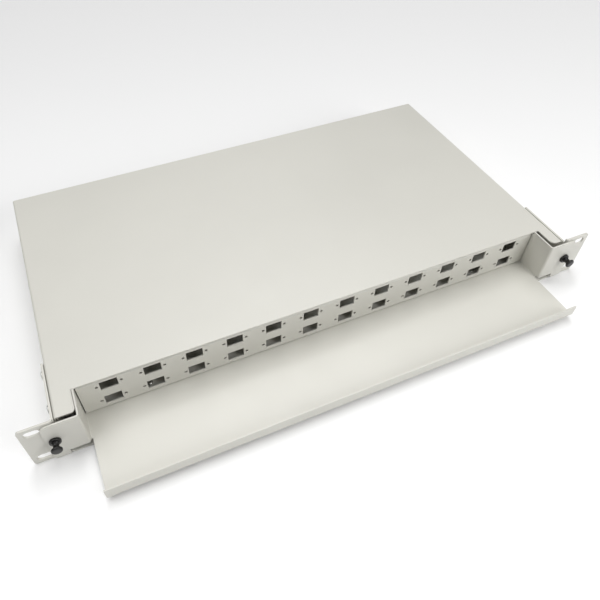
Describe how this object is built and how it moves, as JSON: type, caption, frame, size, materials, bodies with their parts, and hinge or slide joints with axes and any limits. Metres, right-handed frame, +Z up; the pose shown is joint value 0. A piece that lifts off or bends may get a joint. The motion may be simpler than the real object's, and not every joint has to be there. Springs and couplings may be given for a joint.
{
  "type": "fiber termination box",
  "caption": "Sliding fibre termination box for a 19-inch rack: folded housing with ears, pull-out drawer with adapter panel, cable shelf, splice cassettes and push-pull latches.",
  "frame": {"origin": "middle of the overall width and depth, at the underside of the housing", "axes": "+X along the rack width, to the right seen from the front; +Y from the cable shelf to the rear wall; +Z up"},
  "size_m": [0.4826, 0.305, 0.0444],
  "materials": {
    "housing_paint": "warm light-grey fine-texture powder coat on steel sheet",
    "drawer_paint": "warm light-grey fine-texture powder coat on steel sheet",
    "zinc_plate": "bright zinc-plated steel",
    "black_nylon": "moulded black nylon, slight sheen",
    "white_nylon": "moulded natural nylon",
    "rubber": "soft black rubber",
    "cassette_abs": "moulded light-grey plastic",
    "clear_cover": "clear smooth plastic sheet"
  },
  "bodies": {
    "housing": {"top_cover": "housing_paint", "base_pan": "housing_paint", "ear_bracket_left": "housing_paint", "ear_bracket_right": "housing_paint", "guide_rail_left": "zinc_plate", "guide_rail_right": "zinc_plate", "glide_pad_left": "white_nylon", "glide_pad_right": "white_nylon", "cable_entry_plug_1": "rubber", "cable_entry_plug_2": "rubber", "cable_entry_plug_3": "rubber", "cable_entry_plug_4": "rubber", "earth_stud": "zinc_plate", "earth_washer": "zinc_plate", "earth_nut": "zinc_plate", "ear_screw_left_front_upper": "zinc_plate", "ear_screw_left_front_lower": "zinc_plate", "cover_screw_left_front": "zinc_plate", "ear_screw_left_rear_upper": "zinc_plate", "ear_screw_left_rear_lower": "zinc_plate", "cover_screw_left_rear": "zinc_plate", "ear_screw_right_front_upper": "zinc_plate", "ear_screw_right_front_lower": "zinc_plate", "cover_screw_right_front": "zinc_plate", "ear_screw_right_rear_upper": "zinc_plate", "ear_screw_right_rear_lower": "zinc_plate", "cover_screw_right_rear": "zinc_plate"},
    "drawer": {"drawer_tray": "drawer_paint", "adapter_panel": "drawer_paint", "panel_screw_left": "zinc_plate", "panel_screw_middle": "zinc_plate", "panel_screw_right": "zinc_plate", "runner_left": "white_nylon", "latch_grommet_left": "black_nylon", "anchor_plate_left": "zinc_plate", "anchor_screw_left": "zinc_plate", "tie_mount_left_front": "white_nylon", "tie_mount_left_rear": "white_nylon", "runner_right": "white_nylon", "latch_grommet_right": "black_nylon", "anchor_plate_right": "zinc_plate", "anchor_screw_right": "zinc_plate", "tie_mount_right_front": "white_nylon", "tie_mount_right_rear": "white_nylon", "splice_cassette_lower": "cassette_abs", "splice_cassette_upper": "cassette_abs", "splice_holder_lower": "cassette_abs", "splice_holder_upper": "cassette_abs", "cassette_cover": "clear_cover", "cassette_stud": "zinc_plate", "cassette_wing_nut": "white_nylon"},
    "left_latch": {"latch_plunger_left": "black_nylon"},
    "right_latch": {"latch_plunger_right": "black_nylon"}
  },
  "joints": [
    {"name": "drawer_slide", "type": "slide", "parent": "housing", "child": "drawer", "axis": [0, -1, 0], "range_m": [0, 0.178]},
    {"name": "left_latch_pull", "type": "slide", "parent": "drawer", "child": "left_latch", "axis": [0, -1, 0], "range_m": [0, 0.006]},
    {"name": "right_latch_pull", "type": "slide", "parent": "drawer", "child": "right_latch", "axis": [0, -1, 0], "range_m": [0, 0.006]}
  ]
}
